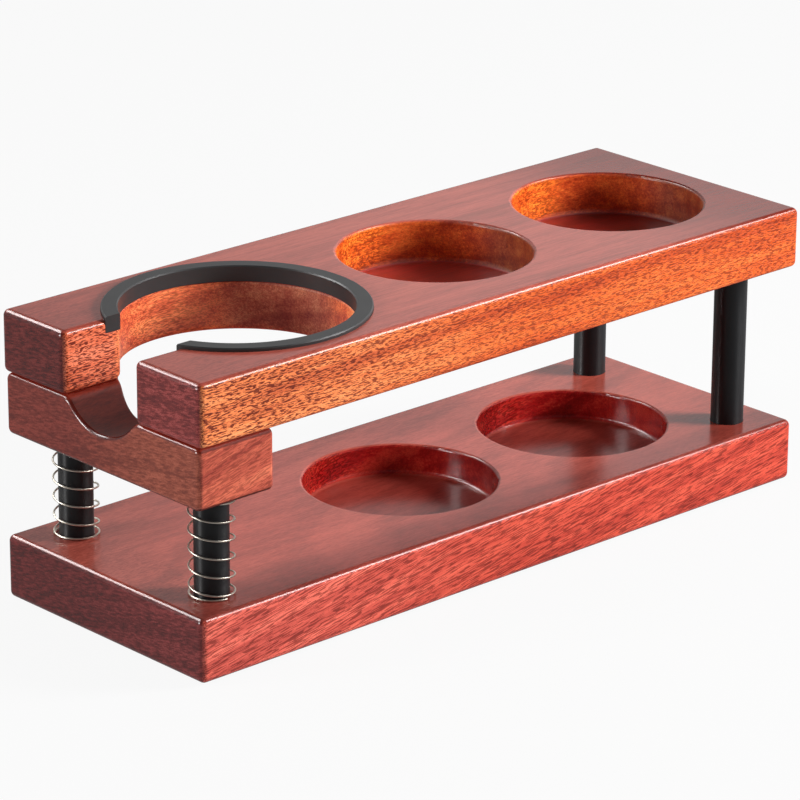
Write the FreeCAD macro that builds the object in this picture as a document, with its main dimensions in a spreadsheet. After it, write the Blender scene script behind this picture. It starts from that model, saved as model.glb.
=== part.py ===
import FreeCAD, Part
import math
import os
from types import SimpleNamespace

import Sketcher

# Espresso tamping station. Two wooden boards stand one above the other on four
# turned posts. A notched wooden bar slides on the two posts of one end and is
# held up by a compression spring on each.
# Frame: +X along the boards away from the sliding bar, +Y to the left of someone
# who faces that way, +Z up, origin on the table under the middle of the base.
# All sizes are millimetres.

driving = {
    # Seat for the filter holder, at the sliding bar's end of the upper board
    "seat_bore": 70.0,
    "ring_wall": 5.0,
    "ring_height": 5.0,
    "ring_proud": 1.1,
    "ring_clearance": 0.1,
    "ring_chamfer": 0.35,
    "seat_inset": 52.5,
    "ledge_round": 0.8,
    "slot_width": 32.0,
    "slot_corner_round": 3.5,
    # Tool pockets of both boards
    "pocket_bore": 60.0,
    "seat_web": 9.5,
    "pocket_web": 14.5,
    "end_wall": 10.5,
    "base_pocket_shift": 14.0,
    "deck_pocket_floor": 6.0,
    "base_pocket_floor": 10.0,
    "pocket_rim_round": 1.0,
    "pocket_floor_round": 1.5,
    # Boards
    "side_wall": 5.0,
    "base_thickness": 20.0,
    "deck_thickness": 19.5,
    "deck_gap": 51.5,
    "edge_round": 2.0,
    # Posts and their fastenings
    "post_bore": 10.5,
    "post_end_inset": 15.5,
    "post_side_inset": 14.0,
    "socket_depth": 3.0,
    "socket_clearance": 0.1,
    "post_chamfer": 0.4,
    "stud_bore": 6.0,
    "stud_tip_gap": 1.0,
    "insert_outer": 9.0,
    "insert_roof": 4.5,
    "thread_clearance": 0.05,
    "screw_bore": 5.0,
    "screw_clearance": 0.3,
    "screw_grip": 12.5,
    "tap_runout": 3.5,
    "head_bore": 9.0,
    "head_height": 3.2,
    "head_recess": 1.3,
    "hex_key": 3.0,
    "hex_depth": 2.0,
    "washer_outer": 11.0,
    "washer_thickness": 1.0,
    "counterbore_clearance": 0.5,
    # Sliding bar
    "bar_front_inset": 0.3,
    "bar_side_inset": 1.0,
    "bar_length": 28.0,
    "bar_height": 19.0,
    "bar_edge_round": 1.5,
    "bar_hollow_clearance": 0.5,
    "bar_hollow_round": 0.8,
    "bar_running_clearance": 0.15,
    "stop_clearance": 0.1,
    "notch_radius": 18.0,
    "notch_depth": 7.6,
    "notch_shoulder": 5.0,
    # Springs; the angle of the wire's lower end is in degrees from +X
    "spring_wire": 0.6,
    "spring_clearance": 1.15,
    "spring_turns": 5.25,
    "spring_end_angle": 260.0,
    "closed_coil_gap": 0.3,
    "spring_seat_clearance": 0.05,
    # Rubber feet
    "foot_outer": 12.0,
    "foot_proud": 1.0,
    "foot_recess": 2.0,
    "foot_clearance": 0.1,
    "foot_chamfer": 0.4,
    "foot_end_inset": 36.0,
    "foot_side_inset": 14.0,
}

doc = FreeCAD.newDocument("tamping_station")
sheet = doc.addObject("Spreadsheet::Sheet", "Sizes")
for row, (alias, value) in enumerate(driving.items(), start=1):
    sheet.set(f"A{row}", alias)
    sheet.set(f"B{row}", str(value))
    sheet.setAlias(f"B{row}", alias)
doc.recompute()


class Size:
    # A number that keeps the sheet formula it comes from, so that one expression
    # both draws the first geometry and drives the finished one.
    def __init__(self, number, text):
        self.number = number
        self.text = text

    def __float__(self):
        return float(self.number)

    def __neg__(self):
        return Size(-self.number, f"(-{self.text})")

    def __add__(self, other):
        other = as_size(other)
        return Size(self.number + other.number, f"({self.text} + {other.text})")

    def __sub__(self, other):
        other = as_size(other)
        return Size(self.number - other.number, f"({self.text} - {other.text})")

    def __rsub__(self, other):
        return as_size(other) - self

    def __mul__(self, other):
        other = as_size(other)
        return Size(self.number * other.number, f"({self.text} * {other.text})")

    __radd__ = __add__
    __rmul__ = __mul__

    def __truediv__(self, other):
        other = as_size(other)
        return Size(self.number / other.number, f"({self.text} / {other.text})")


def as_size(thing):
    return thing if isinstance(thing, Size) else Size(thing, str(thing))


def bind(thing, name, size):
    thing.setExpression(name, as_size(size).text)


dim = SimpleNamespace(**{alias: Size(sheet.get(alias), f"Sizes.{alias}") for alias in driving})

# Places that several pieces share.
ring_outer = dim.seat_bore + 2 * dim.ring_wall
rebate_depth = dim.ring_height - dim.ring_proud
pocket_pitch = dim.pocket_bore + dim.pocket_web
board_length = (dim.seat_inset + ring_outer / 2 + dim.seat_web
                + pocket_pitch + dim.pocket_bore + dim.end_wall)
board_width = ring_outer + 2 * dim.side_wall

seat_x = dim.seat_inset - board_length / 2
deck_pocket_x = seat_x + ring_outer / 2 + dim.seat_web + dim.pocket_bore / 2
base_pocket_x = deck_pocket_x - dim.base_pocket_shift
post_x = board_length / 2 - dim.post_end_inset
post_y = board_width / 2 - dim.post_side_inset
post_places = {
    "front_left": (-post_x, post_y),
    "front_right": (-post_x, -post_y),
    "rear_left": (post_x, post_y),
    "rear_right": (post_x, -post_y),
}

base_bottom = dim.foot_proud
base_top = base_bottom + dim.base_thickness
deck_bottom = base_top + dim.deck_gap
bar_bottom = deck_bottom - dim.stop_clearance - dim.bar_height

socket_bore = dim.post_bore + 2 * dim.socket_clearance
post_bottom = base_top - dim.socket_depth
post_length = dim.deck_gap + 2 * dim.socket_depth
insert_length = dim.deck_thickness - dim.socket_depth - dim.insert_roof
counterbore = dim.washer_outer + 2 * dim.counterbore_clearance
counterbore_depth = dim.head_recess + dim.head_height + dim.washer_thickness
screw_length = (dim.washer_thickness + dim.base_thickness - counterbore_depth
                - dim.socket_depth + dim.screw_grip)

level = 0.01


def origin_plane(body, role):
    for feature in body.Origin.OriginFeatures:
        if feature.Role == role:
            return feature
    raise RuntimeError(f"no plane {role}")


def new_body(name):
    body = doc.addObject("PartDesign::Body", name)
    body.Label = name
    return body


def place(thing, x=None, y=None, z=None):
    for axis, size in (("x", x), ("y", y), ("z", z)):
        if size is not None:
            bind(thing, f"Placement.Base.{axis}", size)


def new_sketch(body, name, role="XY_Plane", lift=None):
    sketch = body.newObject("Sketcher::SketchObject", name)
    sketch.AttachmentSupport = [(origin_plane(body, role), "")]
    sketch.MapMode = "FlatFace"
    if lift is not None:
        bind(sketch, "AttachmentOffset.Base.z", lift)
    return sketch


def constrain(sketch, kind, size, *where):
    index = sketch.addConstraint(Sketcher.Constraint(kind, *where, float(size)))
    sketch.setExpression(f"Constraints[{index}]", as_size(size).text)


def pin_point(sketch, geometry, point, x, y):
    # Ties a point to the sketch's origin, along each axis in turn.
    for kind, size, axis in (("DistanceX", x, -2), ("DistanceY", y, -1)):
        size = as_size(size)
        if size.number == 0:
            sketch.addConstraint(Sketcher.Constraint("PointOnObject", geometry, point, axis))
        elif size.number > 0:
            constrain(sketch, kind, size, -1, 1, geometry, point)
        else:
            constrain(sketch, kind, -size, geometry, point, -1, 1)


def draw_circle(sketch, x, y, bore):
    centre = FreeCAD.Vector(float(x), float(y), 0)
    circle = sketch.addGeometry(Part.Circle(centre, FreeCAD.Vector(0, 0, 1), float(bore) / 2))
    constrain(sketch, "Diameter", bore, circle)
    pin_point(sketch, circle, 3, x, y)


def draw_polygon(sketch, corners):
    points = [FreeCAD.Vector(float(x), float(y), 0) for x, y in corners]
    count = len(points)
    for index, point in enumerate(points):
        sketch.addGeometry(Part.LineSegment(point, points[(index + 1) % count]))
    for index in range(count):
        sketch.addConstraint(Sketcher.Constraint("Coincident", index, 2, (index + 1) % count, 1))
        pin_point(sketch, index, 1, *corners[index])


def draw_rectangle(sketch, low_x, low_y, high_x, high_y):
    draw_polygon(sketch, [(low_x, low_y), (high_x, low_y), (high_x, high_y), (low_x, high_y)])


def pad(body, name, sketch, length):
    feature = body.newObject("PartDesign::Pad", name)
    feature.Profile = sketch
    bind(feature, "Length", length)
    doc.recompute()
    return feature


def pocket(body, name, sketch, depth=None, upwards=False):
    before = body.Shape.Volume
    feature = body.newObject("PartDesign::Pocket", name)
    feature.Profile = sketch
    feature.Reversed = upwards
    if depth is None:
        feature.Type = "ThroughAll"
    else:
        bind(feature, "Length", depth)
    doc.recompute()
    if not body.Shape.Volume < before:
        raise RuntimeError(f"{name} cuts nothing")
    return feature


def repeat_along_x(body, name, feature, pitch, count=2):
    pattern = body.newObject("PartDesign::LinearPattern", name)
    pattern.Originals = [feature]
    pattern.Direction = (feature.Profile[0], ["H_Axis"])
    bind(pattern, "Length", pitch)
    pattern.Occurrences = count
    body.Tip = pattern
    doc.recompute()
    return pattern


def revolve(body, name, sketch):
    feature = body.newObject("PartDesign::Revolution", name)
    feature.Profile = sketch
    feature.ReferenceAxis = (sketch, ["V_Axis"])
    feature.Angle = 360
    doc.recompute()
    return feature


def edges_where(feature, test):
    return [f"Edge{number}" for number, edge in enumerate(feature.Shape.Edges, start=1) if test(edge)]


def dress(body, kind, name, test, size):
    base = body.Tip
    edges = edges_where(base, test)
    if not edges:
        raise RuntimeError(f"{name} finds no edge")
    feature = body.newObject(f"PartDesign::{kind}", name)
    feature.Base = (base, edges)
    bind(feature, "Radius" if kind == "Fillet" else "Size", size)
    doc.recompute()
    return feature


def is_upright(edge):
    box = edge.BoundBox
    return box.XLength < level and box.YLength < level and box.ZLength > level


def is_at_height(edge, height):
    return abs(edge.BoundBox.ZMin - height) < level and abs(edge.BoundBox.ZMax - height) < level


def is_circular(edge):
    return not edge.Degenerated and isinstance(edge.Curve, Part.Circle)


def is_arc_of(edge, bore):
    return is_circular(edge) and abs(2 * edge.Curve.Radius - float(bore)) < level


def is_on_bore(edge, x, y, bore):
    if edge.Degenerated:
        return False
    radii = [math.hypot(point.x - float(x), point.y - float(y)) for point in edge.discretize(5)]
    return all(abs(2 * radius - float(bore)) < level for radius in radii)


def is_on_side(edge, half):
    box = edge.BoundBox
    return abs(abs(box.YMin) - float(half)) < level and box.YLength < level


def cut_at_posts(body, name, bore, depth, lift=0, upwards=False):
    sketch = new_sketch(body, f"{name}_sketch", lift=lift)
    for x, y in post_places.values():
        draw_circle(sketch, x, y, bore)
    return pocket(body, name, sketch, depth, upwards)


def cut_tool_pockets(body, first_x, thickness, depth):
    sketch = new_sketch(body, f"{body.Name}_pocket_sketch", lift=thickness)
    draw_circle(sketch, first_x, 0, dim.pocket_bore)
    first = pocket(body, f"{body.Name}_pocket", sketch, depth)
    repeat_along_x(body, f"{body.Name}_pockets", first, pocket_pitch)
    dress(body, "Fillet", f"{body.Name}_pocket_rims",
          lambda edge: is_arc_of(edge, dim.pocket_bore) and is_at_height(edge, float(thickness)),
          dim.pocket_rim_round)
    dress(body, "Fillet", f"{body.Name}_pocket_floors",
          lambda edge: is_arc_of(edge, dim.pocket_bore)
          and is_at_height(edge, float(thickness) - float(depth)),
          dim.pocket_floor_round)


def round_faces_of_board(body, thickness):
    # The router's rounding runs all round the upper and the lower face.
    dress(body, "Fillet", f"{body.Name}_upper_round",
          lambda edge: is_at_height(edge, float(thickness)), dim.edge_round)
    dress(body, "Fillet", f"{body.Name}_lower_round",
          lambda edge: is_at_height(edge, 0.0), dim.edge_round)


def make_base_board():
    body = new_body("base_board")
    place(body, z=base_bottom)
    outline = new_sketch(body, "base_outline")
    draw_rectangle(outline, -board_length / 2, -board_width / 2, board_length / 2, board_width / 2)
    pad(body, "base_slab", outline, dim.base_thickness)
    dress(body, "Fillet", "base_corners", is_upright, dim.edge_round)
    round_faces_of_board(body, dim.base_thickness)
    cut_tool_pockets(body, base_pocket_x, dim.base_thickness, dim.base_thickness - dim.base_pocket_floor)
    cut_at_posts(body, "base_sockets", socket_bore, dim.socket_depth, lift=dim.base_thickness)
    cut_at_posts(body, "screw_passages", dim.screw_bore + 2 * dim.screw_clearance,
                 dim.base_thickness, upwards=True)
    cut_at_posts(body, "head_counterbores", counterbore, counterbore_depth, upwards=True)
    feet = new_sketch(body, "foot_recess_sketch")
    for x, y in foot_places.values():
        draw_circle(feet, x, y, dim.foot_outer + 2 * dim.foot_clearance)
    pocket(body, "foot_recesses", feet, dim.foot_recess, upwards=True)
    return body


def make_top_board():
    body = new_body("top_board")
    place(body, z=deck_bottom)
    outline = new_sketch(body, "deck_outline")
    draw_rectangle(outline, -board_length / 2, -board_width / 2, board_length / 2, board_width / 2)
    pad(body, "deck_slab", outline, dim.deck_thickness)

    # Bore of the seat, and the slot that lets the handle's neck in from the end
    bore = new_sketch(body, "seat_bore_sketch", lift=dim.deck_thickness)
    draw_circle(bore, seat_x, 0, dim.seat_bore)
    pocket(body, "seat_bore", bore)
    slot = new_sketch(body, "neck_slot_sketch", lift=dim.deck_thickness)
    draw_rectangle(slot, -board_length / 2 - dim.slot_width, -dim.slot_width / 2, seat_x, dim.slot_width / 2)
    pocket(body, "neck_slot", slot)

    end = -float(board_length) / 2
    dress(body, "Fillet", "slot_throat",
          lambda edge: is_upright(edge) and is_on_side(edge, dim.slot_width / 2)
          and edge.BoundBox.XMin > end + level,
          dim.slot_corner_round)
    dress(body, "Fillet", "deck_corners",
          lambda edge: is_upright(edge) and (is_on_side(edge, board_width / 2)
                                             or edge.BoundBox.XMin < end + level),
          dim.edge_round)
    round_faces_of_board(body, dim.deck_thickness)

    # Rebate for the ring, with its ledge eased where it meets the bore
    rebate = new_sketch(body, "ring_rebate_sketch", lift=dim.deck_thickness)
    draw_circle(rebate, seat_x, 0, ring_outer + 2 * dim.ring_clearance)
    pocket(body, "ring_rebate", rebate, rebate_depth)
    ledge = float(dim.deck_thickness) - float(rebate_depth)
    dress(body, "Fillet", "ledge_edge",
          lambda edge: is_arc_of(edge, dim.seat_bore) and is_at_height(edge, ledge),
          dim.ledge_round)

    cut_tool_pockets(body, deck_pocket_x, dim.deck_thickness, dim.deck_thickness - dim.deck_pocket_floor)
    cut_at_posts(body, "deck_sockets", socket_bore, dim.socket_depth, upwards=True)
    cut_at_posts(body, "insert_bores", dim.insert_outer, dim.socket_depth + insert_length, upwards=True)
    return body


def make_seat_ring():
    body = new_body("seat_ring")
    place(body, x=seat_x, z=deck_bottom + dim.deck_thickness - rebate_depth)
    section = new_sketch(body, "ring_section")
    draw_circle(section, 0, 0, ring_outer)
    draw_circle(section, 0, 0, dim.seat_bore)
    pad(body, "ring_band", section, dim.ring_height)
    mouth = new_sketch(body, "ring_mouth_sketch", lift=dim.ring_height)
    draw_rectangle(mouth, -ring_outer, -dim.slot_width / 2, 0, dim.slot_width / 2)
    pocket(body, "ring_mouth", mouth)
    top = float(dim.ring_height)
    dress(body, "Chamfer", "ring_lips",
          lambda edge: is_circular(edge) and is_at_height(edge, top),
          dim.ring_chamfer)
    return body


def make_neck_rest():
    body = new_body("neck_rest")
    bar_x = -board_length / 2 + dim.bar_front_inset + dim.bar_length / 2
    place(body, x=bar_x, z=bar_bottom)
    half = board_width / 2 - dim.bar_side_inset
    top = dim.bar_height
    valley = top - dim.notch_depth + dim.notch_radius

    # The valley and the two shoulders are arcs that run into each other. First
    # places for them come from the same sizes, and the tangencies settle them.
    reach = float(dim.notch_radius) + float(dim.notch_shoulder)
    drop = float(valley) - float(top) + float(dim.notch_shoulder)
    spread = math.sqrt(reach ** 2 - drop ** 2)
    lean = math.atan2(spread, drop)
    meet_y = float(dim.notch_radius) * math.sin(lean)
    meet_z = float(valley) - float(dim.notch_radius) * math.cos(lean)

    def at(y, z):
        return FreeCAD.Vector(y, z, 0)

    def arc(centre, radius, first, second):
        circle = Part.Circle(centre, FreeCAD.Vector(0, 0, 1), radius)
        start = math.atan2(first.y - centre.y, first.x - centre.x)
        stop = math.atan2(second.y - centre.y, second.x - centre.x)
        return Part.ArcOfCircle(circle, start, stop)

    wide = float(half)
    tall = float(top)
    shoulder = float(dim.notch_shoulder)
    profile = new_sketch(body, "bar_profile", "YZ_Plane", lift=-dim.bar_length / 2)
    profile.addGeometry([
        Part.LineSegment(at(-wide, 0), at(wide, 0)),
        Part.LineSegment(at(wide, 0), at(wide, tall)),
        Part.LineSegment(at(wide, tall), at(spread, tall)),
        arc(at(spread, tall - shoulder), shoulder, at(spread, tall), at(meet_y, meet_z)),
        arc(at(0, float(valley)), float(dim.notch_radius), at(-meet_y, meet_z), at(meet_y, meet_z)),
        arc(at(-spread, tall - shoulder), shoulder, at(-meet_y, meet_z), at(-spread, tall)),
        Part.LineSegment(at(-spread, tall), at(-wide, tall)),
        Part.LineSegment(at(-wide, tall), at(-wide, 0)),
    ])
    joined = [(0, 2, 1, 1), (1, 2, 2, 1), (6, 2, 7, 1), (7, 2, 0, 1)]
    tangent = [(2, 2, 3, 1), (3, 2, 4, 2), (4, 1, 5, 1), (5, 2, 6, 1)]
    for where in joined:
        profile.addConstraint(Sketcher.Constraint("Coincident", *where))
    for where in tangent:
        profile.addConstraint(Sketcher.Constraint("Tangent", *where))
    pin_point(profile, 0, 1, -half, 0)
    pin_point(profile, 1, 1, half, 0)
    pin_point(profile, 2, 1, half, top)
    pin_point(profile, 7, 1, -half, top)
    for line in (2, 6):
        profile.addConstraint(Sketcher.Constraint("Horizontal", line))
    constrain(profile, "Radius", dim.notch_shoulder, 3)
    constrain(profile, "Radius", dim.notch_radius, 4)
    constrain(profile, "Radius", dim.notch_shoulder, 5)
    pin_point(profile, 4, 3, 0, valley)
    pad(body, "bar_blank", profile, dim.bar_length)

    dress(body, "Fillet", "bar_long_edges",
          lambda edge: is_on_side(edge, half) and edge.BoundBox.ZLength < level,
          dim.edge_round)
    face = float(dim.bar_length) / 2
    dress(body, "Fillet", "bar_face_edges",
          lambda edge: edge.BoundBox.XLength < level and abs(abs(edge.BoundBox.XMin) - face) < level,
          dim.bar_edge_round)

    # The back is hollowed round the seat's axis, so that a basket hangs clear of it.
    hollow_bore = dim.seat_bore + 2 * dim.bar_hollow_clearance
    hollow = new_sketch(body, "bar_hollow_sketch", lift=top)
    draw_circle(hollow, seat_x - bar_x, 0, hollow_bore)
    pocket(body, "bar_hollow", hollow)
    dress(body, "Fillet", "bar_hollow_edges",
          lambda edge: is_on_bore(edge, seat_x - bar_x, 0, hollow_bore),
          dim.bar_hollow_round)

    bores = new_sketch(body, "bar_bore_sketch", lift=top)
    for name in ("front_left", "front_right"):
        x, y = post_places[name]
        draw_circle(bores, x - bar_x, y, dim.post_bore + 2 * dim.bar_running_clearance)
    pocket(body, "bar_bores", bores)
    return body


def make_turned(name, corners, x, y, z):
    # A piece turned on a lathe: half its section, spun round the upright axis.
    body = new_body(name)
    place(body, x=x, y=y, z=z)
    sketch = new_sketch(body, f"{name}_section", "XZ_Plane")
    draw_polygon(sketch, corners)
    revolve(body, f"{name}_turning", sketch)
    return body


def make_posts():
    radius = dim.post_bore / 2
    tap = dim.screw_bore / 2 + dim.thread_clearance
    tap_depth = dim.screw_grip + dim.tap_runout
    stud = dim.stud_bore / 2
    stud_top = post_length + insert_length - dim.stud_tip_gap
    chamfer = dim.post_chamfer
    section = [
        (tap, 0), (radius - chamfer, 0), (radius, chamfer), (radius, post_length - chamfer),
        (radius - chamfer, post_length), (stud, post_length), (stud, stud_top - chamfer),
        (stud - chamfer, stud_top), (0, stud_top), (0, tap_depth), (tap, tap_depth),
    ]
    return [make_turned(f"post_{name}", section, x, y, post_bottom)
            for name, (x, y) in post_places.items()]


def make_inserts():
    outer = dim.insert_outer / 2
    inner = dim.stud_bore / 2 + dim.thread_clearance
    section = [(inner, 0), (outer, 0), (outer, insert_length), (inner, insert_length)]
    bodies = [make_turned(f"insert_{name}", section, x, y, deck_bottom + dim.socket_depth)
              for name, (x, y) in post_places.items()]
    return make_group("deck_inserts", bodies)


def make_washers():
    outer = dim.washer_outer / 2
    inner = dim.screw_bore / 2 + dim.screw_clearance
    section = [(inner, 0), (outer, 0), (outer, dim.washer_thickness), (inner, dim.washer_thickness)]
    height = base_bottom + counterbore_depth - dim.washer_thickness
    bodies = [make_turned(f"washer_{name}", section, x, y, height)
              for name, (x, y) in post_places.items()]
    return make_group("screw_washers", bodies)


def make_screws():
    head = dim.head_bore / 2
    shank = dim.screw_bore / 2
    tip = dim.head_height + screw_length
    chamfer = dim.post_chamfer
    section = [
        (0, 0), (head - chamfer, 0), (head, chamfer), (head, dim.head_height),
        (shank, dim.head_height), (shank, tip - chamfer), (shank - chamfer, tip), (0, tip),
    ]
    bodies = []
    for name, (x, y) in post_places.items():
        body = make_turned(f"screw_{name}", section, x, y, base_bottom + dim.head_recess)
        key = new_sketch(body, f"screw_{name}_key")
        across = dim.hex_key / math.cos(math.pi / 6)
        corners = []
        for side in range(6):
            turn = math.radians(60 * side + 30)
            corners.append((across / 2 * round(math.cos(turn), 12), across / 2 * round(math.sin(turn), 12)))
        draw_polygon(key, corners)
        pocket(body, f"screw_{name}_socket", key, dim.hex_depth, upwards=True)
        bodies.append(body)
    return make_group("base_screws", bodies)


def make_group(name, bodies):
    group = doc.addObject("Part::Compound", name)
    group.Label = name
    group.Links = bodies
    return group


def make_feet():
    radius = dim.foot_outer / 2
    height = dim.foot_proud + dim.foot_recess
    chamfer = dim.foot_chamfer
    section = [(0, 0), (radius - chamfer, 0), (radius, chamfer), (radius, height), (0, height)]
    return [make_turned(f"foot_{name}", section, x, y, 0) for name, (x, y) in foot_places.items()]


def make_springs():
    # Left-hand coils: a closed turn at each end and an open helix between them.
    wire = dim.spring_wire
    coil = dim.post_bore / 2 + dim.spring_clearance + wire / 2
    closed = wire + dim.closed_coil_gap
    length = dim.deck_gap - dim.stop_clearance - dim.bar_height - 2 * dim.spring_seat_clearance
    open_height = length - wire - 2 * closed
    first = dim.spring_end_angle
    last = first - dim.spring_turns * 360
    stages = [
        ("closed_end", first, wire / 2, closed, 1),
        ("open_coils", first, wire / 2 + closed, open_height, dim.spring_turns),
        ("bar_end", last, wire / 2 + closed + open_height, closed, 1),
    ]
    springs = []
    for side in ("left", "right"):
        x, y = post_places[f"front_{side}"]
        body = new_body(f"spring_{side}")
        place(body, x=x, y=y, z=base_top + dim.spring_seat_clearance)
        for stage, turn, start, height, turns in stages:
            sketch = new_sketch(body, f"spring_{side}_{stage}_wire", "XZ_Plane")
            sketch.AttachmentOffset = FreeCAD.Placement(
                FreeCAD.Vector(0, 0, 0), FreeCAD.Rotation(FreeCAD.Vector(0, 1, 0), 0))
            bind(sketch, "AttachmentOffset.Rotation.Angle", turn)
            draw_circle(sketch, coil, start, wire)
            helix = body.newObject("PartDesign::AdditiveHelix", f"spring_{side}_{stage}")
            helix.Profile = sketch
            helix.ReferenceAxis = (sketch, ["V_Axis"])
            helix.Mode = "height-turns-angle"
            helix.LeftHanded = True
            bind(helix, "Height", height)
            bind(helix, "Turns", turns)
            doc.recompute()
        springs.append(body)
    return springs


foot_places = {
    "front_left": (dim.foot_end_inset - board_length / 2, board_width / 2 - dim.foot_side_inset),
    "front_right": (dim.foot_end_inset - board_length / 2, dim.foot_side_inset - board_width / 2),
    "rear_left": (board_length / 2 - dim.foot_end_inset, board_width / 2 - dim.foot_side_inset),
    "rear_right": (board_length / 2 - dim.foot_end_inset, dim.foot_side_inset - board_width / 2),
}

pieces = [make_base_board(), make_top_board(), make_seat_ring(), make_neck_rest()]
pieces += make_posts()
pieces += make_springs()
pieces += [make_screws(), make_washers(), make_inserts()]
pieces += make_feet()
doc.recompute()

for thing in doc.Objects:
    if "Invalid" in thing.State or "Error" in thing.State:
        raise RuntimeError(f"{thing.Label} failed: {thing.State}")
for piece in pieces:
    if piece.Shape.isNull() or not piece.Shape.isValid():
        raise RuntimeError(f"{piece.Label} has no valid shape")

os.makedirs("parts", exist_ok=True)
for piece in pieces:
    piece.Shape.exportStep(f"parts/{piece.Label}.step")
    box = piece.Shape.BoundBox
    print(f"{piece.Label:18s} solids {len(piece.Shape.Solids)} volume {piece.Shape.Volume:10.1f} "
          f"x {box.XMin:8.2f} {box.XMax:8.2f} y {box.YMin:7.2f} {box.YMax:7.2f} "
          f"z {box.ZMin:6.2f} {box.ZMax:6.2f}")
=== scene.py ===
# Espresso tamping station: lacquered hardwood, black posts, nickel springs, studio light and camera.
import math
from types import SimpleNamespace

import bpy
from mathutils import Matrix, Vector


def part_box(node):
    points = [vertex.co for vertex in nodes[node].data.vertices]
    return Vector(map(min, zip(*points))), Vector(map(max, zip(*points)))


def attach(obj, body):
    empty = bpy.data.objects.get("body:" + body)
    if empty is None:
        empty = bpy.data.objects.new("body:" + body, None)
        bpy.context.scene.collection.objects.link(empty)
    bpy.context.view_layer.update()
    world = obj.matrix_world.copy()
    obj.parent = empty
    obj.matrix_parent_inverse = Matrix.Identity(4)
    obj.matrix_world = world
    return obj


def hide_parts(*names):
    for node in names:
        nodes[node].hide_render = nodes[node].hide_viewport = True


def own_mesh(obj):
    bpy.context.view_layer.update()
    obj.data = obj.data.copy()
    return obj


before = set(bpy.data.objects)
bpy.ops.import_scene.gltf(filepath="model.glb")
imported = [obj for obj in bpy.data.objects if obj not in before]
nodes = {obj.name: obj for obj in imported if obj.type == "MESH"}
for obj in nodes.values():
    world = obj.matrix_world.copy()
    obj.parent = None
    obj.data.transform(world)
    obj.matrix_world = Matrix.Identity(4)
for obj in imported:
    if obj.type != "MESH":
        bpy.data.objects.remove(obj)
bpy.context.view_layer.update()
print("frame loaded:", len(nodes), "nodes")


# A shader value. Python's operators on it add Math nodes, and numbers alone stay in Python.
class Shade:
    def __init__(self, finish, socket):
        self.finish = finish
        self.socket = socket

    def math(self, operation, *others):
        values = dict(enumerate((self,) + others))
        return self.finish.node("ShaderNodeMath", {"operation": operation}, values)

    def __add__(self, other):
        return self.math("ADD", other)

    def __mul__(self, other):
        return self.math("MULTIPLY", other)

    def __sub__(self, other):
        return self.math("SUBTRACT", other)

    def __truediv__(self, other):
        return self.math("DIVIDE", other)

    def __pow__(self, other):
        return self.math("POWER", other)

    def __rsub__(self, other):
        return self.finish.node("ShaderNodeMath", {"operation": "SUBTRACT"}, {0: other, 1: self})

    __radd__ = __add__
    __rmul__ = __mul__

    def magnitude(self):
        return self.math("ABSOLUTE")

    # 0 at start and before it, 1 at end and past it, with a soft step between them
    def step(self, start, end):
        settings = {"interpolation_type": "SMOOTHSTEP"}
        values = {"Value": self, "From Min": start, "From Max": end}
        return self.finish.node("ShaderNodeMapRange", settings, values)


# One material, or the world, and the calls that add nodes to it.
class Finish:
    def __init__(self, name, world=None):
        self.owner = world or bpy.data.materials.new(name)
        self.owner.use_nodes = True
        self.tree = self.owner.node_tree
        self.tree.nodes.clear()

    def node(self, kind, settings=None, values=None, out=0):
        made = self.tree.nodes.new(kind)
        for key, value in (settings or {}).items():
            if key == "stops":
                self.setStops(made.color_ramp, value)
            else:
                setattr(made, key, value)
        for key, value in (values or {}).items():
            self.feed(made.inputs[key], value)
        return Shade(self, made.outputs[out]) if made.outputs else None

    def feed(self, socket, value):
        if isinstance(value, Shade):
            self.tree.links.new(value.socket, socket)
        else:
            socket.default_value = value

    def setStops(self, ramp, stops):
        while len(ramp.elements) < len(stops):
            ramp.elements.new(1.0)
        for element, (position, colour) in zip(ramp.elements, stops):
            element.position = position
            element.color = (*colour, 1.0)

    def ramp(self, factor, stops):
        return self.node("ShaderNodeValToRGB", {"stops": stops}, {"Fac": factor})

    def blend(self, factor, first, second, mode="MIX"):
        settings = {"data_type": "RGBA", "blend_type": mode}
        values = {0: factor, 6: solid(first), 7: solid(second)}
        return self.node("ShaderNodeMix", settings, values, out=2)

    def parts(self, vector):
        split = self.node("ShaderNodeSeparateXYZ", {}, {0: vector})
        return [Shade(self, output) for output in split.socket.node.outputs]

    def place(self):
        return self.node("ShaderNodeTexCoord", out="Object")

    def noise(self, vector, detail=2.0, rough=0.5, scale=1.0):
        values = {"Vector": vector, "Scale": scale, "Detail": detail, "Roughness": rough}
        return self.node("ShaderNodeTexNoise", {"noise_dimensions": "3D"}, values)

    def bump(self, height, strength, depth):
        values = {"Strength": strength, "Distance": depth, "Height": height}
        return self.node("ShaderNodeBump", {}, values)

    def surface(self, values):
        skin = self.node("ShaderNodeBsdfPrincipled", {}, values)
        self.node("ShaderNodeOutputMaterial", {}, {"Surface": skin})
        return self.owner


def solid(colour):
    return colour if isinstance(colour, Shade) else (*colour, 1.0)


def paint(material, *names):
    for name in names:
        slots = nodes[name].data.materials
        slots.clear()
        slots.append(material)


# Camera at the photograph's angle. Lengths in metres, angles in degrees, lens and film in millimetres.
shot = {
    "azimuth": -42.863,
    "elevation": 20.096,
    "roll": 0.326,
    "distance": 1.3477,
    "lens": 197.59,
    "filmWidth": 36.0,
    "nearest": 0.05,
    "aimAcross": -0.0042,
    "aimHeight": 0.0455,
}


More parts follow.
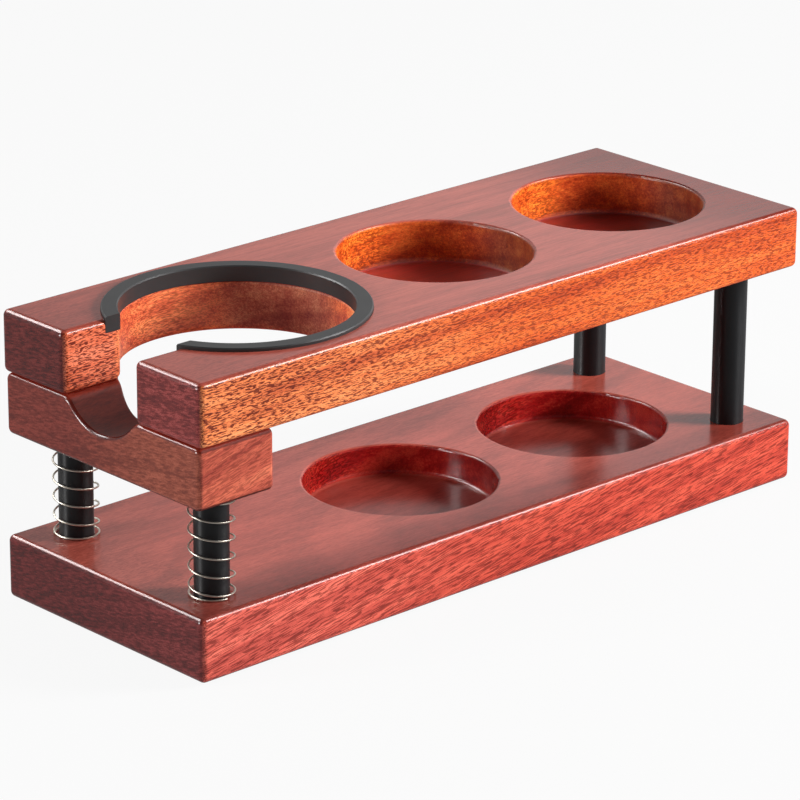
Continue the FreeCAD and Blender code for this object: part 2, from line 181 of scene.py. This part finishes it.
def addCamera(shot):
    turn, rise, roll = (math.radians(shot[key]) for key in ("azimuth", "elevation", "roll"))
    back = Vector((math.sin(turn) * math.cos(rise), -math.cos(turn) * math.cos(rise), math.sin(rise)))
    level = Vector((math.cos(turn), math.sin(turn), 0.0))
    upright = back.cross(level)
    right = level * math.cos(roll) + upright * math.sin(roll)
    up = upright * math.cos(roll) - level * math.sin(roll)
    aim = level * shot["aimAcross"] + Vector((0.0, 0.0, shot["aimHeight"]))
    camera = bpy.data.objects.new("camera", bpy.data.cameras.new("camera"))
    bpy.context.scene.collection.objects.link(camera)
    camera.data.sensor_width = shot["filmWidth"]
    camera.data.lens = shot["lens"]
    camera.data.clip_start = shot["nearest"]
    turned = Matrix((right, up, back)).transposed().to_4x4()
    camera.matrix_world = Matrix.Translation(aim + back * shot["distance"]) @ turned
    bpy.context.scene.camera = camera


addCamera(shot)
print("camera placed")


# Hardwood under clear lacquer. Colours are linear, sizes are in metres along, across and through the log.
# A range turns a noise into a share, from the value that gives 0 to the one that gives 1.
hardwood = {
    "ringTilt": 8.0,
    "pith": (0.0, -0.05, -0.16),
    "ringWidth": 0.0045,
    "wobbleSize": (0.14, 0.03, 0.03),
    "wobble": 1.4,
    "cloudSize": (0.070, 0.016, 0.020),
    "ribbonSize": (0.060, 0.0035, 0.0055),
    "fibreSize": (0.011, 0.0007, 0.0007),
    "tickSize": (0.00032, 0.00032, 0.0011),
    "blotchSize": (0.0060, 0.0030, 0.0006),
    "patchSize": (0.0011, 0.0007, 0.0009),
    "peelSize": (0.0024, 0.0024, 0.0024),
    "toneRange": (0.46, 0.84),
    "endToneRange": (0.34, 0.66),
    "fleckRange": (0.495, 0.435),
    "tickRange": (0.42, 0.34),
    "tickShare": 0.3,
    "patchRange": (0.46, 0.40),
    "fleckTint": (0.17, 0.060, 0.050),
    "faceFlecks": 0.28,
    "farFlecks": 1.0,
    "endCalm": 0.5,  # how far flecks fade on the ends, in the hollows and in the lit part of the seat
    "hollowCalm": 0.6,
    "seatCalm": 0.6,
    "lacquerIndex": 1.5,
    "roughness": 0.17,
    "fibreRoughness": 0.06,
    "hollowRoughness": 0.0,
    "filletRoughness": 0.0,
    "sunkRoughness": 0.0,
    "reliefStrength": 0.20,
    "reliefDepth": 0.00012,
    "endsFrom": 0.116,  # distance from the board's middle
    "sunkFrom": 0.0010,  # depth below the piece's top where floors and fillets begin
    "faceEdge": (0.55, 0.85),  # upward part of the normal where a side turns into a face
}

# The three pieces are cut from different planks. Each has its own colours for its faces, outer sides, ends
# and hollows, from dark to light, and tints for some of their zones. Its values go before those above.
planks = {
    "top_board": {
        "fibreTilt": 1.5,
        "faces": ((0.37, 0.085, 0.060), (0.52, 0.112, 0.082), (0.64, 0.145, 0.102)),
        "sides": ((0.60, 0.118, 0.035), (0.88, 0.238, 0.072), (1.00, 0.365, 0.135)),
        "ends": ((0.070, 0.007, 0.007), (0.13, 0.014, 0.012), (0.21, 0.030, 0.026)),
        "hollows": ((0.32, 0.022, 0.006), (0.60, 0.080, 0.016), (0.86, 0.180, 0.034)),
        "faceNearTint": (0.80, 0.66, 0.62),
        "faceFarTint": (0.42, 0.20, 0.14),
        # painted shade: pocket floors made darker and deeper red below the top
        "sunkShadeTint": (1.00, 0.46, 0.46),
        "sideFarTint": (0.79, 0.48, 0.24),
        "slotTint": (0.99, 0.82, 1.20),
        # painted light: pocket walls that face the key lamp made lighter and more orange
        "leftWallTint": (1.40, 1.75, 1.10),
        # painted shade: pocket walls turned away from the key lamp made darker
        "rightWallTint": (0.54, 0.75, 1.20),
        # painted sheen: the seat bore's wall made paler and greyer in place of its hazy reflection
        "paintedSeatSheen": (1.25, 1.80, 3.30),
        # painted shade on the seat bore's wall that faces -X and -Y, away from the lamps
        "paintedSeatShade": (0.62, 0.78, 1.20),
        # painted light where the side lamp strikes the seat bore's wall that faces +Y
        "seatRightTint": (1.60, 2.10, 2.00),
        "endRightTint": (2.1, 2.7, 2.9),
        "fleckSize": (0.0019, 0.00030, 0.00028),
        "sideFlecks": 0.95,
        "farFlecks": 0.72,
        "hollowRoughness": 0.16,
        "filletRoughness": 0.30,
        "sunkRoughness": 0.10,
    },
    "base_board": {
        "fibreTilt": 10.0,
        "faces": ((0.36, 0.072, 0.052), (0.50, 0.098, 0.070), (0.62, 0.128, 0.090)),
        "sides": ((0.50, 0.067, 0.049), (0.73, 0.121, 0.084), (0.92, 0.200, 0.137)),
        "ends": ((0.075, 0.008, 0.008), (0.130, 0.014, 0.014), (0.21, 0.028, 0.027)),
        "hollows": ((0.18, 0.003, 0.003), (0.30, 0.006, 0.006), (0.46, 0.030, 0.018)),
        "faceNearTint": (0.84, 0.90, 0.90),
        "faceFarTint": (0.85, 0.80, 0.75),
        "faceFrontTint": (0.56, 0.50, 0.52),
        # painted shade on the pocket floors
        "sunkShadeTint": (0.62, 0.50, 0.50),
        "sideFarTint": (0.74, 0.48, 0.38),
        "endRightTint": (1.35, 1.6, 1.6),
        "fleckSize": (0.0042, 0.00031, 0.00031),
        "sideFlecks": 0.68,
        "hollowRoughness": 0.02,
    },
    "neck_rest": {
        "fibreTilt": 14.0,
        "faces": ((0.18, 0.022, 0.014), (0.29, 0.034, 0.019), (0.42, 0.056, 0.032)),
        "sides": ((0.33, 0.050, 0.032), (0.53, 0.106, 0.060), (0.72, 0.184, 0.098)),
        "ends": ((0.13, 0.017, 0.012), (0.20, 0.030, 0.020), (0.28, 0.046, 0.032)),
        "hollows": ((0.16, 0.014, 0.010), (0.26, 0.028, 0.018), (0.38, 0.050, 0.030)),
        # painted shade in the notch
        "sunkShadeTint": (0.40, 0.40, 0.42),
        "endRightTint": (1.65, 2.5, 2.1),
        "fleckSize": (0.0024, 0.00036, 0.00036),
        "sideFlecks": 0.45,
        "faceFlecks": 0.20,
        "sunkRoughness": 0.62,
        "endsFrom": 0.118,
        "sunkFrom": -0.0004,
        "faceEdge": (0.25, 0.50),
    },
}

# Where one look gives way to the next, from share 0 to share 1: places in metres along and across the
# boards, or parts of the surface's normal along, across and up. Left and right are the photograph's.
zones = {
    "endFacing": (0.35, 0.65),
    "endFade": 0.004,
    "inside": (0.0425, 0.0395),
    "pastSlot": (-0.106, -0.100),
    "seat": (-0.026, -0.034),
    "sunkFade": 0.0020,
    "faceNear": (-0.06, -0.13),
    "faceFar": (0.05, 0.12),
    "faceFront": (-0.022, -0.038),
    "sideFar": (-0.11, 0.01),
    "endRight": (0.02, -0.03),
    # how much a wall faces the key lamp, along and across, and where its painted light begins
    "leftWallAlong": 0.75,
    "leftWallAcross": -0.66,
    "leftWall": (0.35, 0.65),
    # walls turned away from the key lamp, which get painted shade in the pockets
    "rightWall": (-0.45, 0.0),
    # the seat bore's wall that faces -X and -Y, which gets painted shade
    "seatShadeAlong": (-0.45, -0.70),
    "seatShadeAcross": (0.25, -0.15),
    # the seat bore's wall that faces +Y, which gets the side lamp's painted light
    "seatRight": (0.0, 0.35),
    "notEnd": (0.4, 0.1),
    "filletFrom": (0.05, 0.30),
    "filletTo": (0.99, 0.93),
    "noZero": 0.001,
}


def findZones(finish, name, look):
    along, across, height = finish.parts(finish.place())
    normal = finish.parts(finish.node("ShaderNodeTexCoord", out="Normal"))
    endwise, sidewise, upward = [part.magnitude() for part in normal]
    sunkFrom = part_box(name)[1].z - look["sunkFrom"]
    endShare = endwise / (endwise + sidewise + zones["noZero"])
    keyFacing = normal[0] * zones["leftWallAlong"] + normal[1] * zones["leftWallAcross"]
    zone = SimpleNamespace()
    zone.face = upward.step(*look["faceEdge"])
    zone.end = endShare.step(*zones["endFacing"])
    zone.end = zone.end * along.magnitude().step(look["endsFrom"], look["endsFrom"] + zones["endFade"])
    inside = across.magnitude().step(*zones["inside"])
    zone.hollow = inside * along.step(*zones["pastSlot"])
    zone.slot = inside * (1.0 - zone.hollow)
    zone.seat = along.step(*zones["seat"])
    zone.pocket = 1.0 - zone.seat
    zone.sunk = height.step(sunkFrom, sunkFrom - zones["sunkFade"])
    zone.faceNear = along.step(*zones["faceNear"])
    zone.faceFar = along.step(*zones["faceFar"])
    zone.faceFront = across.step(*zones["faceFront"])
    zone.sideFar = along.step(*zones["sideFar"])
    zone.endRight = across.step(*zones["endRight"])
    # walls that face the key lamp, which get painted light in the pockets
    zone.leftWall = keyFacing.step(*zones["leftWall"])
    # walls turned away from the key lamp, for painted shade in the pockets
    zone.rightWall = normal[1].step(*zones["rightWall"])
    # the seat bore's wall that faces away from the lamps, for painted shade
    zone.back = normal[0].step(*zones["seatShadeAlong"]) * normal[1].step(*zones["seatShadeAcross"])
    # the seat bore's wall facing the side lamp, for painted light
    zone.seatRight = normal[1].step(*zones["seatRight"])
    zone.notEnd = endwise.step(*zones["notEnd"])
    zone.fillet = upward.step(*zones["filletFrom"]) * upward.step(*zones["filletTo"])
    return zone


# Noise that is stretched along the fibres, which lean in the plank
def growGrain(finish, look):
    place = finish.place()

    def logSpace(size, pith=(0.0, 0.0, 0.0)):
        turn = (-math.radians(look["ringTilt"]), -math.radians(look["fibreTilt"]), 0.0)
        values = {"Vector": place, "Location": pith, "Rotation": turn, "Scale": size}
        return finish.node("ShaderNodeMapping", {"vector_type": "TEXTURE"}, values)

    def layer(key, detail=2.0, rough=0.5):
        return finish.noise(logSpace(look[key]), detail, rough)

    across, through = finish.parts(logSpace((1.0, 1.0, 1.0), look["pith"]))[1:]
    radius = (across * across + through * through) ** 0.5
    ringPlace = radius / look["ringWidth"] + layer("wobbleSize", 3.0, 0.55) * look["wobble"]
    ringValues = {"W": ringPlace, "Detail": 2.0, "Scale": 1.0}
    rings = finish.node("ShaderNodeTexNoise", {"noise_dimensions": "1D"}, ringValues)
    ribbons = layer("ribbonSize", 3.0, 0.6)
    grain = SimpleNamespace()
    grain.fibres = layer("fibreSize", 2.0, 0.6)
    tone = rings * 0.30 + layer("cloudSize") * 0.30 + ribbons * 0.35 + grain.fibres * 0.35
    endTone = rings * 0.25 + layer("blotchSize", 2.0, 0.6) * 0.75
    grain.tone = tone.step(*look["toneRange"])
    grain.endTone = endTone.step(*look["endToneRange"])
    grain.flecks = layer("fleckSize", 0.0).step(*look["fleckRange"])
    grain.ticks = layer("tickSize", 1.0, 0.4).step(*look["tickRange"])
    grain.patches = layer("patchSize", 1.0, 0.5).step(*look["patchRange"])
    grain.peel = layer("peelSize", 1.0, 0.4)
    return grain


def glazeWood(finish, look, zone, grain):
    def shades(tone, key):
        return finish.ramp(tone, list(zip((0.0, 0.5, 1.0), look[key])))

    def tinted(colour, *tints):
        for share, key in tints:
            if key in look:
                colour = finish.blend(share, colour, finish.blend(1.0, colour, look[key], "MULTIPLY"))
        return colour

    faces = tinted(shades(grain.tone, "faces"),
                   (zone.faceNear, "faceNearTint"), (zone.faceFar, "faceFarTint"),
                   # painted shade on the sunk floors and in the notch
                   (zone.faceFront, "faceFrontTint"), (zone.sunk, "sunkShadeTint"))
    sides = tinted(shades(grain.tone, "sides"), (zone.sideFar, "sideFarTint"), (zone.slot, "slotTint"))
    hollows = tinted(shades(grain.tone, "hollows"),
                     # painted light on the pocket walls that face the key lamp
                     (zone.leftWall * zone.pocket, "leftWallTint"),
                     # painted shade on the pocket walls turned away from the key lamp
                     (zone.rightWall * zone.pocket, "rightWallTint"),
                     # painted sheen over the seat bore, and painted shade on its wall that faces away from
                     # the lamps
                     (zone.seat, "paintedSeatSheen"), (zone.seat * zone.back, "paintedSeatShade"),
                     # painted light where the side lamp strikes the seat bore
                     (zone.seat * zone.seatRight, "seatRightTint"))
    ends = tinted(shades(grain.endTone, "ends"), (zone.endRight, "endRightTint"))
    uprights = finish.blend(zone.end, finish.blend(zone.hollow, sides, hollows), ends)
    return tinted(finish.blend(zone.face, uprights, faces), (poreShare(look, zone, grain), "fleckTint"))


# Dark pores and flecks, which fade on the ends, in the hollows away from the light and at the far end
def poreShare(look, zone, grain):
    share = zone.face * (look["faceFlecks"] - look["sideFlecks"]) + look["sideFlecks"]
    lit = zone.leftWall * (1.0 - zone.seat * look["seatCalm"])
    calm = (1.0 - zone.end * look["endCalm"]) * (1.0 - zone.hollow * (1.0 - lit) * look["hollowCalm"])
    calm = calm * (1.0 - zone.sideFar * (1.0 - look["farFlecks"]))
    patches = grain.patches * zone.hollow * zone.leftWall * zone.pocket
    return (grain.flecks + grain.ticks * look["tickShare"] + patches).math("MINIMUM", 1.0) * share * calm


def makeHardwood(name, plank):
    finish = Finish("lacquered " + name.replace("_", " "))
    look = {**hardwood, **plank}
    zone = findZones(finish, name, look)
    grain = growGrain(finish, look)
    roughness = grain.fibres * look["fibreRoughness"] + look["roughness"]
    roughness = zone.hollow * (1.0 - zone.face) * look["hollowRoughness"] + roughness
    roughness = zone.sunk * zone.notEnd * look["sunkRoughness"] + roughness
    roughness = zone.sunk * zone.fillet * look["filletRoughness"] + roughness
    relief = grain.peel * 0.6 + grain.fibres * 0.2 - grain.flecks * 0.15
    return finish.surface({
        "Base Color": glazeWood(finish, look, zone, grain),
        "Roughness": roughness,
        "IOR": look["lacquerIndex"],
        "Normal": finish.bump(relief, look["reliefStrength"], look["reliefDepth"]),
    })


for name, plank in planks.items():
    paint(makeHardwood(name, plank), name)
print("hardwood done")


# Black posts, turned. Their fine grooves stretch each glint along the post.
blackPost = {
    "dark": (0.005, 0.005, 0.006),
    "light": (0.011, 0.011, 0.012),
    "mottlesPerMetre": 420.0,
    "roughness": 0.36,
    "mottleRoughness": 0.12,
    "specular": 0.40,
    "stretch": 0.88,
    "stretchTurn": 0.25,
    "turningPitch": 0.00025,
    "grooveStrength": 0.12,
    "grooveDepth": 0.00003,
}


def makeBlackPost():
    finish = Finish("black turned post")
    height = finish.parts(finish.place())[2]
    turning = (height * (2.0 * math.pi / blackPost["turningPitch"])).math("SINE")
    mottle = finish.noise(finish.place(), 3.0, 0.6, blackPost["mottlesPerMetre"])
    grooves = turning * 0.2 + mottle
    return finish.surface({
        "Base Color": finish.blend(mottle, blackPost["dark"], blackPost["light"]),
        "Roughness": mottle * blackPost["mottleRoughness"] + blackPost["roughness"],
        "Specular IOR Level": blackPost["specular"],
        "Anisotropic": blackPost["stretch"],
        "Anisotropic Rotation": blackPost["stretchTurn"],
        "Normal": finish.bump(grooves, blackPost["grooveStrength"], blackPost["grooveDepth"]),
    })


# Moulded ring and feet, then the metals of springs and fastenings. Grain is the size of the fine texture.
ringPlastic = {
    "dark": (0.026, 0.026, 0.027),
    "light": (0.036, 0.036, 0.037),
    "roughness": 0.33,
    "grain": 0.00022,
}
rubber = {
    "dark": (0.012, 0.012, 0.013),
    "light": (0.024, 0.024, 0.025),
    "roughness": 0.62,
    "grain": 0.0005,
}
moulding = {"cloudsPerMetre": 90.0, "cloudRoughness": 0.10, "bump": 0.2, "depth": 0.00004}
steel = {"dark": (0.30, 0.30, 0.31), "light": (0.44, 0.44, 0.45), "roughness": 0.28, "grain": 0.0006}
brass = {"dark": (0.52, 0.33, 0.11), "light": (0.70, 0.48, 0.18), "roughness": 0.30, "grain": 0.0006}
nickel = {"dark": (0.62, 0.57, 0.49), "light": (0.76, 0.71, 0.62), "roughness": 0.30, "grain": 0.0020}
polish = {"grainRoughness": 0.14, "bump": 0.05, "depth": 0.00003}


def makeMoulded(title, look):
    finish = Finish(title)
    grain = finish.noise(finish.place(), scale=1.0 / look["grain"])
    cloud = finish.noise(finish.place(), scale=moulding["cloudsPerMetre"])
    return finish.surface({
        "Base Color": finish.blend(cloud, look["dark"], look["light"]),
        "Roughness": cloud * moulding["cloudRoughness"] + look["roughness"],
        "Normal": finish.bump(grain, moulding["bump"], moulding["depth"]),
    })


def makeMetal(title, look):
    finish = Finish(title)
    grain = finish.noise(finish.place(), 3.0, 0.6, 1.0 / look["grain"])
    return finish.surface({
        "Base Color": finish.blend(grain, look["dark"], look["light"]),
        "Roughness": grain * polish["grainRoughness"] + look["roughness"],
        "Metallic": 1.0,
        "Normal": finish.bump(grain, polish["bump"], polish["depth"]),
    })


corners = [end + side for end in ("front_", "rear_") for side in ("left", "right")]
paint(makeBlackPost(), *["post_" + corner for corner in corners])
paint(makeMoulded("black ring plastic", ringPlastic), "seat_ring")
paint(makeMoulded("foot rubber", rubber), *["foot_" + corner for corner in corners])
paint(makeMetal("screw steel", steel), "base_screws", "screw_washers")
paint(makeMetal("insert brass", brass), "deck_inserts")
print("black parts and fasteners done")


# Springs: a centre line, and a round wire grown along it afterwards. An end
# angle is where the wire starts at the bottom, in degrees from +X.
spring = {
    "wire": 0.0006,
    "turns": 5.25,
    "closedTurns": 1.0,
    "closedPitch": 0.0009,
    "easeTurns": 0.25,
    "stepsPerTurn": 48,
    "roundSteps": 14,
    "barTravel": 0.024,
    "endAngle": {"spring_left": -219.0, "spring_right": -90.0},
}


# Points from the lower end of the wire up, for a left-hand coil
def springLine(centre, radius, bottom, top, endAngle):
    closed = spring["closedTurns"]
    total = spring["turns"] + 2 * closed
    pitch = (top - bottom - 2 * closed * spring["closedPitch"]) / spring["turns"]
    points, height = [], 0.0
    for step in range(round(total * spring["stepsPerTurn"]) + 1):
        turned = step / spring["stepsPerTurn"]
        fromEnd = min(turned, total - turned)
        share = min(max((fromEnd - closed) / spring["easeTurns"] + 0.5, 0.0), 1.0)
        share = share * share * (3.0 - 2.0 * share)
        angle = math.radians(endAngle) - 2.0 * math.pi * turned
        points.append((radius * math.cos(angle), radius * math.sin(angle), height))
        height += (spring["closedPitch"] * (1.0 - share) + pitch * share) / spring["stepsPerTurn"]
    stretch = (top - bottom) / points[-1][2]
    return [Vector((centre.x + x, centre.y + y, bottom + z * stretch)) for x, y, z in points]


def makeWireTool(material):
    group = bpy.data.node_groups.new("round wire", "GeometryNodeTree")
    group.interface.new_socket("Geometry", in_out="INPUT", socket_type="NodeSocketGeometry")
    group.interface.new_socket("Geometry", in_out="OUTPUT", socket_type="NodeSocketGeometry")
    entry, line, profile, tube, smooth, coat, leave = [group.nodes.new(kind) for kind in (
        "NodeGroupInput", "GeometryNodeMeshToCurve", "GeometryNodeCurvePrimitiveCircle",
        "GeometryNodeCurveToMesh", "GeometryNodeSetShadeSmooth", "GeometryNodeSetMaterial",
        "NodeGroupOutput")]
    profile.inputs["Resolution"].default_value = spring["roundSteps"]
    profile.inputs["Radius"].default_value = spring["wire"] / 2
    tube.inputs["Fill Caps"].default_value = True
    coat.inputs["Material"].default_value = material
    for first, second in ((entry, line), (line, tube), (tube, smooth), (smooth, coat), (coat, leave)):
        group.links.new(first.outputs[0], second.inputs[0])
    group.links.new(profile.outputs[0], tube.inputs["Profile Curve"])
    return group


def addSpring(name, wireTool, material):
    low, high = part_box(name)
    radius = (high.x - low.x) / 2 - spring["wire"] / 2
    bottom = low.z + spring["wire"] / 2
    top = high.z - spring["wire"] / 2
    points = springLine((low + high) / 2, radius, bottom, top, spring["endAngle"][name])
    mesh = bpy.data.meshes.new(name + "_coil")
    mesh.from_pydata(points, [(i, i + 1) for i in range(len(points) - 1)], [])
    mesh.materials.append(material)
    coil = bpy.data.objects.new(name + "_coil", mesh)
    bpy.context.scene.collection.objects.link(coil)
    coil.modifiers.new("round wire", "NODES").node_group = wireTool
    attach(coil, "stand")
    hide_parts(name)
    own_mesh(coil)


springNickel = makeMetal("spring nickel", nickel)
wireTool = makeWireTool(springNickel)
for name in spring["endAngle"]:
    addSpring(name, wireTool, springNickel)
print("springs wound")


# Studio: a pale floor and a white surround, which glossy surfaces see dimmed overhead, to the left and on
# the camera's side. Fades run over the parts of a direction, from share 0 to share 1.
studio = {
    "ambient": 0.30,
    "ambientFront": 0.12,
    "frontFade": (0.3, -0.9),
    "mirrored": 0.85,
    "overheadFade": (0.42, 0.62),
    "overheadShare": 0.08,
    "leftFade": (-0.08, 0.20),
    "leftShare": 0.55,
    "cameraFade": (-0.6, -1.1),
    "cameraShare": 0.15,
    "floorSize": 30.0,
    "floorColour": (0.52, 0.52, 0.52),
    "floorGlow": 0.92,
    "floorGlint": 0.38,
}

# A soft key from the right front without glints, a weak lamp from the far left and two for glints alone
lamps = {
    "key": {"from": (0.78, -0.69, 0.41), "size": (0.34, 0.34), "power": 23.0, "glints": False},
    "side": {"from": (-0.97, 0.41, 0.32), "size": (0.25, 0.25), "power": 6.0},
    "rim": {"from": (-0.36, 0.76, 0.72), "size": (0.80, 0.20), "power": 8.0, "lights": False},
    "edge": {"from": (0.63, -0.49, 0.74), "size": (0.49, 0.20), "power": 6.8, "lights": False},
}


def rayKind(finish, name):
    return finish.node("ShaderNodeLightPath", out=name)


# Rays from the camera, straight or through something clear
def seen(finish):
    return rayKind(finish, "Is Camera Ray").math("MAXIMUM", rayKind(finish, "Is Transmission Ray"))


def addSurround():
    world = bpy.data.worlds.new("studio")
    bpy.context.scene.world = world
    finish = Finish("studio", world)
    east, north, height = finish.parts(finish.node("ShaderNodeTexCoord", out="Generated"))
    mirrored = studio["mirrored"]
    for direction, name in ((north - east, "left"), (east + north, "camera"), (height, "overhead")):
        dimmed = direction.step(*studio[name + "Fade"]) * (1.0 - studio[name + "Share"])
        mirrored = mirrored * (1.0 - dimmed)
    camera = seen(finish)
    glossy = rayKind(finish, "Is Glossy Ray")
    towardsFront = (east + north).step(*studio["frontFade"])
    ambient = towardsFront * (studio["ambientFront"] - studio["ambient"]) + studio["ambient"]
    light = (1.0 - camera - glossy) * ambient + camera + glossy * mirrored
    shell = finish.node("ShaderNodeBackground", {}, {"Color": (1, 1, 1, 1), "Strength": light})
    finish.node("ShaderNodeOutputWorld", {}, {"Surface": shell})


def addFloor():
    half = studio["floorSize"] / 2
    outline = [(-half, -half, 0), (half, -half, 0), (half, half, 0), (-half, half, 0)]
    mesh = bpy.data.meshes.new("floor")
    mesh.from_pydata(outline, [], [(0, 1, 2, 3)])
    floor = bpy.data.objects.new("floor", mesh)
    bpy.context.scene.collection.objects.link(floor)
    finish = Finish("pale floor")
    camera = seen(finish)
    strength = camera * (1.0 - studio["floorGlint"]) + studio["floorGlint"]
    paper = finish.node("ShaderNodeBsdfDiffuse", {}, {"Color": solid(studio["floorColour"])})
    glow = finish.node("ShaderNodeEmission", {}, {"Color": (1, 1, 1, 1), "Strength": strength})
    share = camera * studio["floorGlow"] + rayKind(finish, "Is Glossy Ray")
    mixed = finish.node("ShaderNodeMixShader", {}, {0: share, 1: paper, 2: glow})
    finish.node("ShaderNodeOutputMaterial", {}, {"Surface": mixed})
    mesh.materials.append(finish.owner)


def addLamp(name, look):
    lamp = bpy.data.lights.new(name, "AREA")
    lamp.shape = "RECTANGLE"
    lamp.size, lamp.size_y = look["size"]
    lamp.energy = look["power"]
    holder = bpy.data.objects.new(name, lamp)
    bpy.context.scene.collection.objects.link(holder)
    holder.location = look["from"]
    holder.rotation_euler = Vector(look["from"]).to_track_quat("Z", "Y").to_euler()
    holder.visible_diffuse = look.get("lights", True)
    holder.visible_glossy = look.get("glints", True)
    holder.visible_camera = False


addSurround()
addFloor()
for name, look in lamps.items():
    addLamp(name, look)
bpy.context.scene.view_settings.view_transform = "Standard"
print("studio lit")
